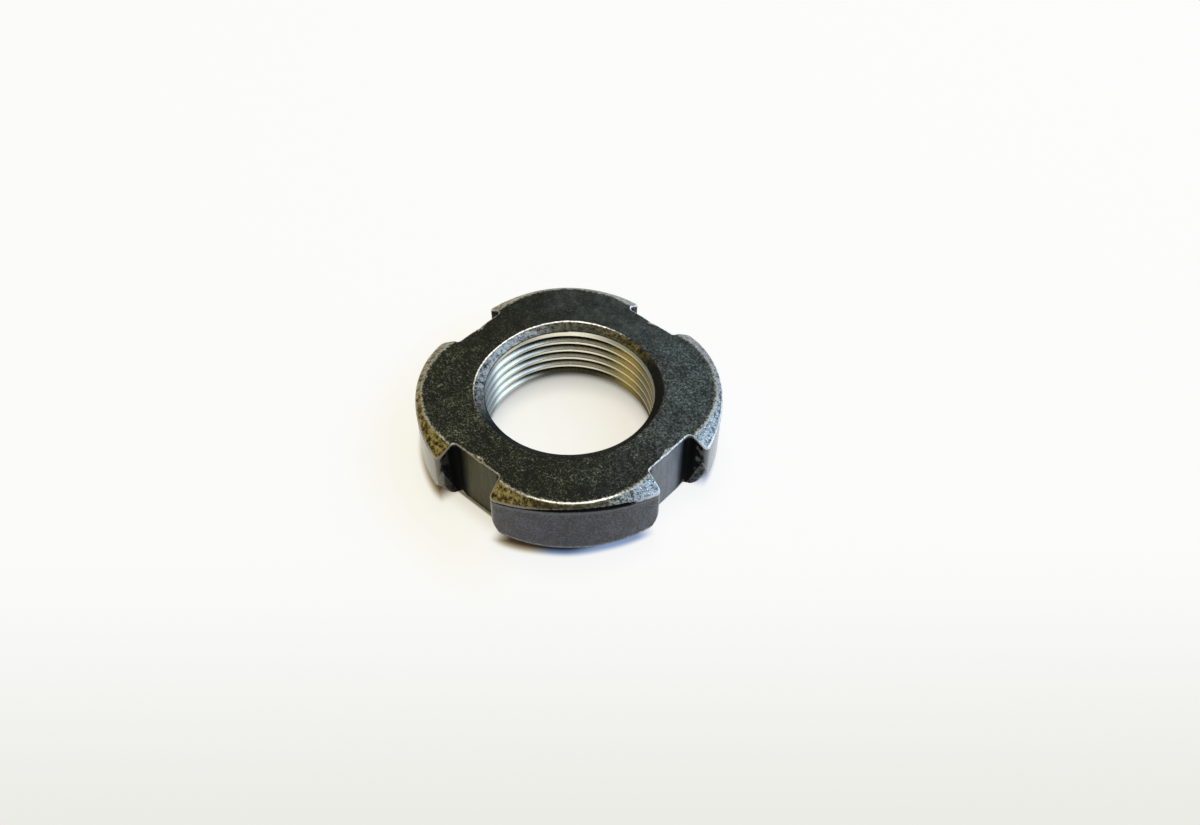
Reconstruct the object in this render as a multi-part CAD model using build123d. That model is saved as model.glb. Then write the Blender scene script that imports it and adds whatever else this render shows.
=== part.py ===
from build123d import *
import os
from math import atan2, cos, degrees, hypot, pi, radians, sin, sqrt, tan

# Thread: nominal diameter, pitch, and how far its crests stand in from the nominal radius, in pitches
thread_diameter = 24.0
thread_pitch = 1.5
crest_height_in_pitches = 0.5413

# Body: diameter over the lugs, and height between the two seating faces
outer_diameter = 40.4
body_height = 9.6

# Spanner slots, open at both faces, with walls that lean apart toward the mouth
slot_count = 4
slot_depth = 3.3
slot_floor_width = 8.0
slot_wall_lean = 10.0
slot_root_radius = 0.5

# Rounding of the upright edges of the lugs
lug_edge_radius = 0.7

# Relief over each lug at the upper face: its width at mid lug and along the slot wall, and its slope
upper_relief_mid_width = 0.75
upper_relief_wall_width = 2.3
upper_relief_slope = 35.0

# Rounding of every edge of the upper half that isn't upright
upper_edge_radius = 0.25

# Relief under each lug at the lower face, steeper, and the round by which it runs into that face
lower_relief_mid_width = 1.25
lower_relief_wall_width = 1.6
lower_relief_slope = 53.0
lower_relief_round = 0.6

# Round between that slope and the slot walls: its radius at the outer face, square to the slope,
# and the length down the slope over which it would taper to nothing
lower_corner_radius = 2.4
lower_corner_taper_length = 9.0

# Countersinks: how far the rim stands out past the thread's nominal radius, slope from the face,
# bulge of the rim toward each lug, and rounding of the rim
countersink_overhang = 0.4
countersink_slope = 30.0
rim_bulge = 0.17
rim_edge_radius = 0.25

# How far a cutter runs past the surface that it cuts
cutter_overrun = 1.0

# Points that draw each wave of the bulging rim
points_per_bulge = 8

outer_radius = outer_diameter / 2
slot_floor_distance = outer_radius - slot_depth
slot_angle = 360 / slot_count
lug_angle = slot_angle / 2
crest_radius = thread_diameter / 2 - crest_height_in_pitches * thread_pitch
rim_radius = thread_diameter / 2 + countersink_overhang
countersink_depth = (rim_radius - crest_radius) * tan(radians(countersink_slope))
from_below = (Align.CENTER, Align.CENTER, Align.MIN)


def half_width_at(distance):
    """Half the slot's width at a distance out from the nut's axis."""
    return slot_floor_width / 2 + tan(radians(slot_wall_lean)) * (distance - slot_floor_distance)


def mouth_distance():
    """Distance out along the slot at which its walls meet the lugs' outer faces."""
    lean = tan(radians(slot_wall_lean))
    start = half_width_at(0)
    square = 1 + lean**2
    return (sqrt((lean * start) ** 2 - square * (start**2 - outer_radius**2)) - lean * start) / square


def slot_plan():
    """Plan of one slot along +X, with rounded roots, running out past the lugs."""
    far = outer_radius + cutter_overrun
    outline = Polyline(
        (slot_floor_distance, -half_width_at(slot_floor_distance)),
        (far, -half_width_at(far)),
        (far, half_width_at(far)),
        (slot_floor_distance, half_width_at(slot_floor_distance)),
        close=True,
    )
    plan = make_face(outline)
    return fillet(plan.vertices().sort_by(Axis.X)[:2], slot_root_radius)


def nut_plan():
    """Plan of the nut without its bore: a disc with the slots cut and the lug edges rounded."""
    plan = Circle(outer_radius)
    for index in range(slot_count):
        plan -= Rot(0, 0, index * slot_angle) * slot_plan()
    # The slot corners lie well inside the rim of the disc, and the lug edges on it
    rim_start = (slot_floor_distance + outer_radius) / 2
    lug_edges = [corner for corner in plan.vertices() if hypot(corner.X, corner.Y) > rim_start]
    return fillet(lug_edges, lug_edge_radius)


def relief_cone(mid_width, wall_width, slope):
    """Cone that the relief of the lug on +X follows at the upper face.

    Its axis stands off the nut's axis toward the lug, so that the relief is narrow at
    mid lug and wide at the slot walls.
    """
    wall_run = wall_width * cos(radians(slot_wall_lean))
    along_slot = mouth_distance() - wall_run
    across_slot = half_width_at(along_slot)
    turn = radians(lug_angle)
    end_x = along_slot * cos(turn) + across_slot * sin(turn)
    end_y = along_slot * sin(turn) - across_slot * cos(turn)
    mid_x = outer_radius - mid_width
    rise = mid_x - end_x
    radius = (end_y**2 + rise**2) / (2 * rise)
    spread = body_height / tan(radians(slope))
    return Pos(mid_x - radius, 0, 0) * Cone(radius + spread, radius, body_height, align=from_below)


def at_lugs(shape):
    """One copy at each lug of a shape made for the lug on +X."""
    return [Rot(0, 0, lug_angle + index * slot_angle) * shape for index in range(slot_count)]


def core():
    """Disc inside the slots' roots, which no relief reaches."""
    radius = hypot(slot_floor_distance, half_width_at(slot_floor_distance))
    return Cylinder(radius, body_height, align=from_below)


def upper_envelope():
    """What the upper reliefs leave, with sharp edges."""
    cone = relief_cone(upper_relief_mid_width, upper_relief_wall_width, upper_relief_slope)
    return core() + at_lugs(cone)


def corner_cutter():
    """Cutter that rounds one corner of the lower relief, of the lug on +X and with its face up.

    The round is a cone that touches the slope and the slot wall. It tapers along the slope,
    so that it is gone where it would reach the core.
    """
    sections = []
    for along in (-body_height / 2, body_height / 2):
        radius = lower_corner_radius * (1 + along / lower_corner_taper_length)
        side = radius + cutter_overrun
        sections.append(Pos(radius, radius, along) * Rectangle(side, side, align=(Align.MAX, Align.MAX)))
    rise = 2 * lower_corner_taper_length
    spread = lower_corner_radius / hypot(lower_corner_radius, lower_corner_taper_length)
    apex = Plane(
        origin=(0, 0, -lower_corner_taper_length),
        z_dir=(lower_corner_radius, lower_corner_radius, lower_corner_taper_length),
    )
    cutter = loft(sections) - apex * Cone(0, rise * spread, rise, align=from_below)
    mouth_angle = degrees(atan2(half_width_at(mouth_distance()), mouth_distance()))
    slope = radians(lower_relief_slope)
    start = (outer_radius, 0, body_height - lower_relief_mid_width * tan(slope))
    place = Plane(origin=start, x_dir=(0, -1, 0), z_dir=(cos(slope), 0, -sin(slope)))
    return Rot(0, 0, lug_angle - mouth_angle) * (place * cutter)


def lower_envelope():
    """What the lower reliefs leave, each one running into the lower face by a round."""
    cone = relief_cone(lower_relief_mid_width, lower_relief_wall_width, lower_relief_slope)
    lugs = Part() + at_lugs(fillet(cone.edges().sort_by(Axis.Z)[-1], lower_relief_round))
    lugs -= at_lugs(corner_cutter()) + at_lugs(mirror(corner_cutter(), Plane.XZ))
    return turned_over(lugs + core())


def turned_over(shape):
    """The same shape with its upper face down."""
    return Pos(0, 0, body_height) * Rot(180, 0, 0) * shape


def countersink():
    """Cutter for the upper countersink, with a rim that bulges toward each lug."""
    count = points_per_bulge * slot_count
    points = []
    for index in range(count):
        angle = 2 * pi * index / count
        radius = rim_radius - rim_bulge * cos(slot_count * angle)
        points.append((radius * cos(angle), radius * sin(angle)))
    rim = Pos(0, 0, body_height) * make_face(Spline(*points, periodic=True))
    throat = Pos(0, 0, body_height - countersink_depth) * Circle(crest_radius)
    return loft([rim, throat])


def forged_body():
    """The solid nut without its bore, with both reliefs and its broken upper edges."""
    shape = extrude(nut_plan(), body_height) & upper_envelope()
    sloping = shape.edges().filter_by(Axis.Z, reverse=True)
    upper_edges = [edge for edge in sloping if edge.center().Z > body_height / 2]
    return fillet(upper_edges, upper_edge_radius) & lower_envelope()


def bored(shape):
    """The body with its bore at the thread's crests, and a countersink at each face."""
    shape -= Cylinder(crest_radius, body_height, align=from_below)
    shape -= countersink()
    shape -= turned_over(countersink())
    faces = shape.faces().filter_by(Plane.XY).sort_by(Axis.Z)
    rims = faces[0].inner_wires()[0].edges() + faces[-1].inner_wires()[0].edges()
    return fillet(rims, rim_edge_radius)


lock_nut = bored(forged_body())

os.makedirs("parts", exist_ok=True)
export_step(lock_nut, "parts/lock_nut.step")
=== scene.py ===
"""Slotted round lock nut of dark phosphated steel, with its floor, lamps and camera."""

import logging
import math
from collections.abc import Iterable
from dataclasses import dataclass, field
from enum import Enum
from functools import cached_property, reduce

import bpy
import numpy as np
from mathutils import Matrix, Vector, noise


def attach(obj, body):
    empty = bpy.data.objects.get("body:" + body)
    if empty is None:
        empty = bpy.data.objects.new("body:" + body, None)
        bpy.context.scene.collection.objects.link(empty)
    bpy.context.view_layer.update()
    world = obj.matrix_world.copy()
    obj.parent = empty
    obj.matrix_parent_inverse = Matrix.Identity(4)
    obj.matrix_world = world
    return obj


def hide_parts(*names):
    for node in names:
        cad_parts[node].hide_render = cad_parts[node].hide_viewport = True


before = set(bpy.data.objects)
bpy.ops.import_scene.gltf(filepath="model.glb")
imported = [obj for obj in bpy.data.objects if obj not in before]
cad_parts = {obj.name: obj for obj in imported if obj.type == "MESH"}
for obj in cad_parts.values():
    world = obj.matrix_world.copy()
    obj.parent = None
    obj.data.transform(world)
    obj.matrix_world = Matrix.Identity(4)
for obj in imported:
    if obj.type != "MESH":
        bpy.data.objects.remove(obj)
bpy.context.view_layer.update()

MM = 0.001
LOG = logging.getLogger("lock_nut")

Array = np.ndarray
Numbers = tuple[float, ...]
Triple = tuple[float, float, float]
Colour = tuple[float, float, float, float]

# Values of the vertex layers by name, and a row of the surface: its plan, its depth under the face, its layers
Layers = dict[str, Array]
Row = tuple[Array, Array, Layers]


class Finish(Enum):
    """Finishes of the nut, in the order of its material slots."""

    SKIN = 0
    SIDE = 1
    SLOT = 2
    THREAD = 3


def smooth_max(value: Array, half_width: float) -> Array:
    """The larger of each value and zero, with the corner rounded that far to each side of zero."""
    rounded = (value + half_width) ** 2 / (4 * half_width)
    return np.where(value > half_width, value, np.where(value < -half_width, 0.0, rounded))


def ramp(value: Array, low: float, high: float) -> Array:
    """Smooth step from 0 at low to 1 at high."""
    share = np.clip((value - low) / (high - low), 0.0, 1.0)
    return share * share * (3 - 2 * share)


def bell(value: Array, centre: float, width: float | Array) -> Array:
    """Bell curve of height 1 about a centre."""
    return np.exp(-(((value - centre) / width) ** 2))


def grain(points: Array, scale: float, seed: float) -> Array:
    """Smooth noise in space from about -1 to 1, the same in every run.

    Args:
        points: Rows of x, y, z in millimetres.
        scale: Waves per millimetre.
        seed: Shift that gives each use its own pattern.

    Returns:
        One number for each point.
    """
    shift = Vector((seed * 7.31, seed * 3.17, seed * 5.73))
    return np.array([noise.noise(Vector(point) * scale + shift) for point in points])


def grains(points: Array, start: float | Array, *waves: tuple[float, float, float]) -> Array:
    """A value with grains added, each given by its height, its waves per millimetre and its seed."""
    return sum((height * grain(points, scale, seed) for height, scale, seed in waves), start)


def arc(centre: Array, radius: float, turns: Array) -> tuple[Array, Array]:
    """Points of an arc at angles in radians, and the directions to them from its centre."""
    away = np.column_stack([np.cos(turns), np.sin(turns)])
    return centre + radius * away, away


def bend(start: Array, corner: Array, stop: Array, share: float) -> Array:
    """Place on the curve that rounds a corner, at a share of the way from start to stop."""
    return start * (1 - share) ** 2 + corner * 2 * share * (1 - share) + stop * share**2


@dataclass(frozen=True)
class BodySizes:
    """Sizes of the forged body, in millimetres and degrees."""

    outer_radius: float = 20.2
    height: float = 9.6
    slot_floor: float = 16.9
    slot_half_width: float = 4.0
    wall_lean: float = 10.0
    root_radius: float = 0.5
    lug_edge_radius: float = 0.7
    rim_radius: float = 12.4
    rim_bulge: float = 0.17
    throat_radius: float = 11.188
    countersink_depth: float = 0.7

    def half_width_at(self, distance: float) -> float:
        """Half the slot's width at a distance out from the nut's axis."""
        return self.slot_half_width + math.tan(math.radians(self.wall_lean)) * (distance - self.slot_floor)

    def meets(self, start: float, radius: float) -> float:
        """How far out along the slot a line meets a circle round the nut's axis.

        Args:
            start: Distance of the line from the slot's middle at the nut's axis. It leans as the walls do.
            radius: Radius of the circle.

        Returns:
            Distance out from the axis.
        """
        slope = math.tan(math.radians(self.wall_lean))
        square = 1 + slope**2
        return (math.sqrt((slope * start) ** 2 - square * (start**2 - radius**2)) - slope * start) / square

    def mouth_distance(self) -> float:
        """Distance out along the slot at which its walls meet the lugs' outer faces."""
        return self.meets(self.half_width_at(0), self.outer_radius)

    def rim_at(self, angle: Array) -> Array:
        """Radius of the countersink's rim, which bulges toward each lug."""
        return self.rim_radius - self.rim_bulge * np.cos(4 * angle)


@dataclass(frozen=True)
class LugRelief:
    """Slope that takes the corner off each lug at one face, with its crease, wavering line and worn edge.

    Each slope is a cone whose axis stands off the nut's axis toward the lug.
    """

    mid_width: float
    wall_width: float
    slope: float
    crease: float
    edge_width: float
    edge_drop: float
    wobble: float
    seed: float
    wear: float
    foot: float

    def circle(self, body: BodySizes) -> tuple[float, float]:
        """Circle at which the slope starts on the flat face.

        Args:
            body: Sizes of the nut's body.

        Returns:
            Distance of its centre from the nut's axis, and its radius.
        """
        along = body.mouth_distance() - self.wall_width * math.cos(math.radians(body.wall_lean))
        across = body.half_width_at(along)
        half = math.sqrt(0.5)
        end_x = (along + across) * half
        end_y = (along - across) * half
        mid_x = body.outer_radius - self.mid_width
        rise = mid_x - end_x
        radius = (end_y**2 + rise**2) / (2 * rise)
        return mid_x - radius, radius

    def overshoot(self, body: BodySizes, plan: Array) -> Array:
        """How far points stand out past the circle of their own lug.

        Args:
            body: Sizes of the nut's body.
            plan: Rows of x, y in millimetres.

        Returns:
            Distances, below zero on the flat face.
        """
        centre, radius = self.circle(body)
        shift = centre * math.sqrt(0.5)
        reach = np.hypot(np.abs(plan[:, 0]) - shift, np.abs(plan[:, 1]) - shift)
        places = np.column_stack([plan, np.zeros(len(plan))])
        waves = grains(places, 0.0, (0.65, 0.45, self.seed), (0.35, 1.6, self.seed + 1))
        return reach - radius + self.wobble * waves


@dataclass(frozen=True)
class CornerRound:
    """Round of the lower corners of each lug, which tapers toward the slot's root."""

    radius: float = 2.4
    taper_length: float = 9.0
    waver: float = 0.10
    least_radius: float = 0.05
    tries: int = 8

    def depth(self, body: BodySizes, relief: LugRelief, plan: Array) -> Array:
        """How far the round lies over the lower face at each point, found in a few tries.

        Args:
            body: Sizes of the nut's body.
            relief: The slope that the round runs along.
            plan: Rows of x, y in millimetres.

        Returns:
            Heights in millimetres, below zero where the round isn't reached.
        """
        folded = np.sort(np.abs(plan), axis=1)[:, ::-1]
        turn = math.atan2(body.half_width_at(body.mouth_distance()), body.mouth_distance())
        out = folded @ np.array([math.cos(turn), math.sin(turn)]) - body.outer_radius
        along = np.maximum(folded @ np.array([-math.sin(turn), math.cos(turn)]), 0.0)
        places = np.column_stack([plan * 0.5, np.full(len(plan), 3.0)])
        size = self.radius * grains(places, 1, (self.waver, 0.5, 21.0))
        slope = math.radians(relief.slope)
        rise = np.zeros(len(plan))
        for _ in range(self.tries):
            reach = (out + rise * math.sin(slope)) / math.cos(slope)
            radius = np.maximum(size * (1 + reach / self.taper_length), self.least_radius)
            inside = np.clip(radius - along, 0.0, None)
            rise = radius - np.sqrt(np.maximum(radius**2 - inside**2, 0.0))
        start = relief.mid_width * math.tan(slope)
        return start + out * math.tan(slope) + rise / math.cos(slope)


@dataclass(frozen=True)
class ThreadForm:
    """Right-hand internal thread, whose groove fades out toward both countersinks.

    The groove's half width at the crests and the width of each flank are in pitches. The row offsets are the
    heights of the mesh's points about the middle of each groove.
    """

    pitch: float = 1.5
    groove_depth: float = 0.812
    half_width: float = 3 / 8
    flank_width: float = 5 / 16
    corner_round: float = 0.09
    first_groove: float = 0.9756
    turns_below: int = 2
    turns: int = 10
    top_full: float = 8.0
    top_end: float = 8.75
    bottom_full: float = 1.3
    bottom_end: float = 0.55
    row_offsets: Numbers = (
        -0.66, -0.595, -0.56, -0.525, -0.47, -0.30, -0.15, -0.105, -0.06,
        0.0, 0.06, 0.105, 0.15, 0.30, 0.47, 0.525, 0.56, 0.595, 0.66, 0.75,
    )

    def grooves(self, angle: float) -> list[float]:
        """Heights of the groove's turns at an angle round the axis."""
        start = self.first_groove + self.pitch * (angle / (2 * math.pi) - self.turns_below)
        return [start + self.pitch * turn for turn in range(self.turns)]

    def cut(self, angle: float, height: float) -> float:
        """Depth of the groove at a place on the bore.

        Args:
            angle: Angle round the axis, in radians.
            height: Height over the lower face.

        Returns:
            Depth outward from the crests, in millimetres.
        """
        centre = min(self.grooves(angle), key=lambda groove: abs(groove - height))
        flank = (self.half_width * self.pitch - abs(height - centre)) / (self.flank_width * self.pitch)
        share = smooth_max(np.array([flank]), self.corner_round)
        share = 1 - float(smooth_max(1 - share, self.corner_round)[0])
        top = (self.top_end - centre) / (self.top_end - self.top_full)
        bottom = (centre - self.bottom_end) / (self.bottom_full - self.bottom_end)
        fade = min(1.0, max(0.0, top)) * min(1.0, max(0.0, bottom))
        return self.groove_depth * share * fade


@dataclass(frozen=True)
class Columns:
    """Upright sections round the nut: where each meets the outline and the bore's rim.

    The wall run is the way from the end of the slot's wall, below zero on the lug and above it in the slot. The
    lug share goes from -1 at one side of a lug through 0 at its middle to 1.
    """

    plan: Array
    outward: Array
    rim_angle: Array
    wall_run: Array
    lug_share: Array

    def by_quarter(self, values: Numbers) -> Array:
        """One value a column, from one for each quarter of the nut."""
        return np.repeat(values, len(self.plan) // 4)

    def in_slot(self) -> Array:
        """Which columns lie on a slot's floor, roots or walls."""
        return self.wall_run >= 0


@dataclass
class Skin:
    """Vertices, faces and vertex values of the nut's surface while it is put together."""

    points: list[Array] = field(default_factory=list)
    values: list[Layers] = field(default_factory=list)
    faces: list[tuple[int, ...]] = field(default_factory=list)
    finishes: list[int] = field(default_factory=list)
    count: int = 0

    def add_points(self, points: Array, **values: Array) -> int:
        """Adds vertices.

        Args:
            points: Rows of x, y, z in millimetres.
            values: One number a vertex for each named layer.

        Returns:
            Number of the first of these vertices.
        """
        self.points.append(points)
        self.values.append(values)
        self.count += len(points)
        return self.count - len(points)

    def add_face(self, corners: tuple[int, ...], finish: Finish) -> None:
        """Adds one face with its finish."""
        self.faces.append(corners)
        self.finishes.append(finish.value)

    def layer(self, name: str) -> Array:
        """One named layer over all vertices, zero where it wasn't given."""
        parts = [values.get(name, np.zeros(len(points))) for points, values in zip(self.points, self.values)]
        return np.concatenate(parts).astype(float)


@dataclass(frozen=True)
class LockNut:
    """The nut: a forged ring with four lugs and slots, and a thread cut in its bore.

    A stretch of the outline has a number of steps, and each of them takes a turn round the bore's rim, in
    degrees. Shares and wears are those of the rows from the bore outward. Where a value has four numbers, they
    are for the quarters at 45, 135, 225 and 315 degrees.
    """

    name: str = "threaded_nut"
    layers: tuple[str, ...] = ("rim", "crease", "edge", "lip", "relief", "torn", "sink", "groove", "wall")
    body: BodySizes = BodySizes()
    upper: LugRelief = LugRelief(
        mid_width=0.75, wall_width=2.3, slope=35.0, crease=0.13, edge_width=0.25,
        edge_drop=0.24, wobble=0.09, seed=1.0, wear=0.9, foot=0.0,
    )
    lower: LugRelief = LugRelief(
        mid_width=1.18, wall_width=1.6, slope=53.0, crease=0.28, edge_width=0.20,
        edge_drop=0.20, wobble=0.05, seed=5.0, wear=0.3, foot=0.6,
    )
    corner: CornerRound = CornerRound()
    corner_blend: float = 0.15
    thread: ThreadForm = ThreadForm()
    floor_steps: int = 8
    floor_turn: float = 1.5
    root_steps: int = 4
    root_turn: float = 0.45
    root_run: float = 0.4
    wall_steps: int = 12
    wall_turn: float = 0.6
    edge_steps: int = 6
    edge_turn: float = 0.5
    edge_run: float = -1.1
    face_steps: int = 27
    face_run: float = 9.0
    side_rows: int = 38
    bore_margin: float = 0.02
    sink_shares: Numbers = (0.12, 0.3, 0.5, 0.68)
    rim_inner_share: float = 0.18
    rim_outer_width: float = 0.2
    rim_wear: Numbers = (0.1, 0.6, 1.0, 0.7, 0.25)
    crease_reach: float = 1.3
    halvings: int = 24
    flat_shares: Numbers = (0.12, 0.3, 0.5, 0.72, 0.9, 1.0)
    slope_shares: Numbers = (0.25, 0.5, 0.75, 1.0)
    shoulder_width: float = 0.2
    edge_start: float = 0.08
    edge_wear: Numbers = (0.5, 0.8, 1.0, 1.0, 0.8, 0.35)
    torn_width: float = 1.5
    torn_depth: float = 0.10
    wall_end_run: float = 2.45
    deep_run: float = 0.9
    # Painted shade: strength of the dark line along each quarter's upper lip
    lip_shade_lines: Numbers = (0.15, 0.4, 0.15, 1.0)
    # Painted shade: how far the dark of each quarter's slot walls runs out over the slot floor, in millimetres
    root_shades: Numbers = (1.5, 0.9, 1.5, -0.3)
    torn_corners: Numbers = (0.9, 0.9, 0.25, 0.9)

    def half_outline(self) -> Columns:
        """Outline from the middle of the slot on +X to the middle of the next lug.

        Returns:
            Columns in order, counterclockwise.
        """
        body = self.body
        lean = math.radians(body.wall_lean)
        root_x = body.slot_floor + body.root_radius
        root_y = body.half_width_at(root_x) - body.root_radius / math.cos(lean)
        start = body.half_width_at(0) + body.lug_edge_radius / math.cos(lean)
        edge_x = body.meets(start, body.outer_radius - body.lug_edge_radius)
        edge_y = start + math.tan(lean) * edge_x
        root, edge, axis = np.array([root_x, root_y]), np.array([edge_x, edge_y]), np.zeros(2)
        wall_out = np.array([math.sin(lean), -math.cos(lean)])
        wall_start = root - body.root_radius * wall_out
        wall = edge + body.lug_edge_radius * wall_out - wall_start
        length = float(np.linalg.norm(wall))
        edge_angle, face_angle, lug_angle = lean - math.pi / 2, math.atan2(edge_y, edge_x), math.pi / 4
        steps = (self.floor_steps, self.root_steps, self.wall_steps, self.edge_steps, self.face_steps)
        shares = [np.linspace(0, 1, count + 1)[1:] for count in steps]
        shares[0] = np.append(0.0, shares[0])
        floor_share, root_share, wall_share, edge_share, face_share = shares
        root_arc, root_away = arc(root, body.root_radius, np.radians(180 - (90 - body.wall_lean) * root_share))
        edge_turns = edge_angle + (face_angle - edge_angle) * edge_share
        edge_arc, edge_away = arc(edge, body.lug_edge_radius, edge_turns)
        face_arc, face_away = arc(axis, body.outer_radius, face_angle + (lug_angle - face_angle) * face_share)
        plan = np.vstack(
            [
                np.column_stack([np.full(len(floor_share), body.slot_floor), root_y * floor_share]),
                root_arc,
                wall_start + wall * wall_share[:, None],
                edge_arc,
                face_arc,
            ]
        )
        floor_out = np.tile((1.0, 0.0), (len(floor_share), 1))
        outward = np.vstack([floor_out, -root_away, np.tile(wall_out, (len(wall_share), 1)), edge_away, face_away])
        run = np.concatenate(
            [
                length + self.root_run + root_y * (1 - floor_share),
                length + self.root_run * (1 - root_share),
                length * (1 - wall_share),
                self.edge_run * edge_share,
                self.edge_run - self.face_run * face_share,
            ]
        )
        turns = [self.floor_turn, self.root_turn, self.wall_turn, self.edge_turn]
        turns.append((45 - sum(turn * count for turn, count in zip(turns, steps))) / self.face_steps)
        turn = np.repeat(turns, [len(share) for share in shares])
        lug = np.clip((np.arctan2(plan[:, 1], plan[:, 0]) - face_angle) / (lug_angle - face_angle), 0, 1)
        return Columns(plan, outward, np.radians(np.cumsum(turn) - turn[0]), run, lug)

    @cached_property
    def columns(self) -> Columns:
        """All columns once round the nut.

        Returns:
            Columns from the middle of the slot on +X, counterclockwise.
        """
        half = self.half_outline()
        back = slice(-2, 0, -1)
        plan = np.vstack([half.plan, half.plan[back, ::-1]])
        outward = np.vstack([half.outward, half.outward[back, ::-1]])
        rim = np.concatenate([half.rim_angle, math.pi / 2 - half.rim_angle[back]])
        run = np.concatenate([half.wall_run, half.wall_run[back]])
        lug = np.concatenate([half.lug_share - 1, 1 - half.lug_share[back]])
        turns = [quarter * math.pi / 2 for quarter in range(4)]
        quarters = [np.array([[math.cos(turn), math.sin(turn)], [-math.sin(turn), math.cos(turn)]]) for turn in turns]
        return Columns(
            plan=np.vstack([plan @ quarter for quarter in quarters]),
            outward=np.vstack([outward @ quarter for quarter in quarters]),
            rim_angle=np.concatenate([rim + turn for turn in turns]),
            wall_run=np.tile(run, 4),
            lug_share=np.tile(lug, 4),
        )

    def face_rows(self, relief: LugRelief) -> list[Row]:
        """Rows of one end face, from the throat of its countersink out over its edge.

        Args:
            relief: The slope at this face.

        Returns:
            The rows in order.
        """
        body, columns = self.body, self.columns
        around = np.column_stack([np.cos(columns.rim_angle), np.sin(columns.rim_angle)])
        one = np.ones(len(around))
        places = np.column_stack([around * body.rim_radius, one * relief.seed])
        radius = grains(places, body.rim_at(columns.rim_angle), (0.035, 0.7, 3.0), (0.02, 2.2, 4.0))
        rim = around * radius[:, None]
        rows: list[Row] = []
        for share in self.sink_shares:
            out = body.throat_radius + (radius - body.throat_radius) * share
            rows.append((around * out[:, None], one * (body.countersink_depth * (1 - share)), {"sink": one}))
        inner = self.rim_inner_share
        start = rim - around * (inner * (radius - body.throat_radius))[:, None]
        stop = rim + around * self.rim_outer_width
        for share, wear in zip(np.linspace(0, 1, len(self.rim_wear)), self.rim_wear):
            depth = one * inner * body.countersink_depth * (1 - share) ** 2
            values = {"sink": one * max(0.0, 1 - 2 * share), "rim": one * wear}
            rows.append((bend(start, rim, stop, share), depth, values))
        line = columns.plan - columns.outward * (relief.edge_width + self.shoulder_width) - stop
        length = np.linalg.norm(line, axis=1)
        direction = line / length[:, None]
        cross = self.crossing(stop, direction, length, relief)
        before = relief.crease * self.crease_reach
        stations = [cross * share - before * share for share in self.flat_shares]
        stations += [cross - before / 2, cross, cross + before / 2, cross + before]
        rest = length - cross - before
        stations += [cross + before + rest * share for share in self.slope_shares]
        for station in stations:
            plan = stop + direction * station[:, None]
            rows.append((plan, *self.face_point(plan, relief)))
        return rows + self.edge_rows(relief)

    def edge_rows(self, relief: LugRelief) -> list[Row]:
        """Rows of the rounded edge between one end face and the upright side.

        Args:
            relief: The slope at this face.

        Returns:
            The rows in order, from the face outward.
        """
        columns = self.columns
        plan = columns.plan - columns.outward * (relief.edge_width + self.edge_start)
        depth, values = self.face_point(plan, relief)
        rows = [(plan, depth, {**values, "edge": np.ones(len(plan)) * 0.4 * relief.wear})]
        top = columns.plan - columns.outward * relief.edge_width
        top_depth, _ = self.face_point(top, relief)
        corner_depth, corner_values = self.face_point(columns.plan, relief)
        bottom_depth = corner_depth + relief.edge_drop
        shade_line = self.lip_shade_line if relief is self.upper else np.zeros(len(plan))
        thin = 1 - ramp(columns.lug_share, -0.8, 0.0)
        tip = 0.3 * ramp(np.abs(columns.lug_share), 0.82, 0.95) * ramp(0.8 - columns.wall_run, 0.0, 0.5) * relief.wear
        for share, wear in zip(np.linspace(0, 1, len(self.edge_wear)), self.edge_wear):
            plan = bend(top, columns.plan, columns.plan, share)
            depth = bend(top_depth, corner_depth, bottom_depth, share)
            values = {
                "edge": wear * (relief.wear + tip) + relief.foot * share**4,
                "lip": shade_line * ramp(share - 0.55 * thin, 0.0, 0.4),
                "relief": corner_values["relief"] * (1 - share),
            }
            rows.append((plan, depth, values))
        return rows

    @cached_property
    def lip_shade_line(self) -> Array:
        """Share of the painted shade line along the outer lip of each upper slope.

        Returns:
            Numbers from 0, no line, to 1, a full dark line.
        """
        columns, along = self.columns, self.columns.lug_share
        swell = 0.8 + 0.2 * ramp(along, -0.7, 0.2)
        shade_line = columns.by_quarter(self.lip_shade_lines) * ~columns.in_slot() * swell
        return shade_line * ramp(along, -1.05, -0.98) * (1 - ramp(along, 0.50, 0.86))

    def crossing(self, start: Array, direction: Array, length: Array, relief: LugRelief) -> Array:
        """Where lines across the flat face reach the start of a lug's slope, found by halving.

        Args:
            start: Start of each line.
            direction: Unit direction of each line.
            length: Length of each line.
            relief: The slope at this face.

        Returns:
            Distance along each line, kept well inside it.
        """
        low = np.zeros(len(start))
        high = length.copy()
        for _ in range(self.halvings):
            middle = (low + high) / 2
            past = relief.overshoot(self.body, start + direction * middle[:, None]) > 0
            high = np.where(past, middle, high)
            low = np.where(past, low, middle)
        return np.clip(high, length * 0.3, length - relief.crease * 1.5 - 0.12)

    def face_point(self, plan: Array, relief: LugRelief) -> tuple[Array, Layers]:
        """Depth and layer values of points on an end face.

        Args:
            plan: Rows of x, y in millimetres.
            relief: The slope at this face.

        Returns:
            Depths under the face, and the values of the layers.
        """
        past = relief.overshoot(self.body, plan)
        depth = math.tan(math.radians(relief.slope)) * smooth_max(past, relief.crease)
        if relief is self.lower:
            depth = depth + smooth_max(self.corner.depth(self.body, relief, plan) - depth, self.corner_blend)
        return depth, {"relief": ramp(past, -0.05, 0.12), "crease": bell(past, -0.03, 0.34)}

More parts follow.
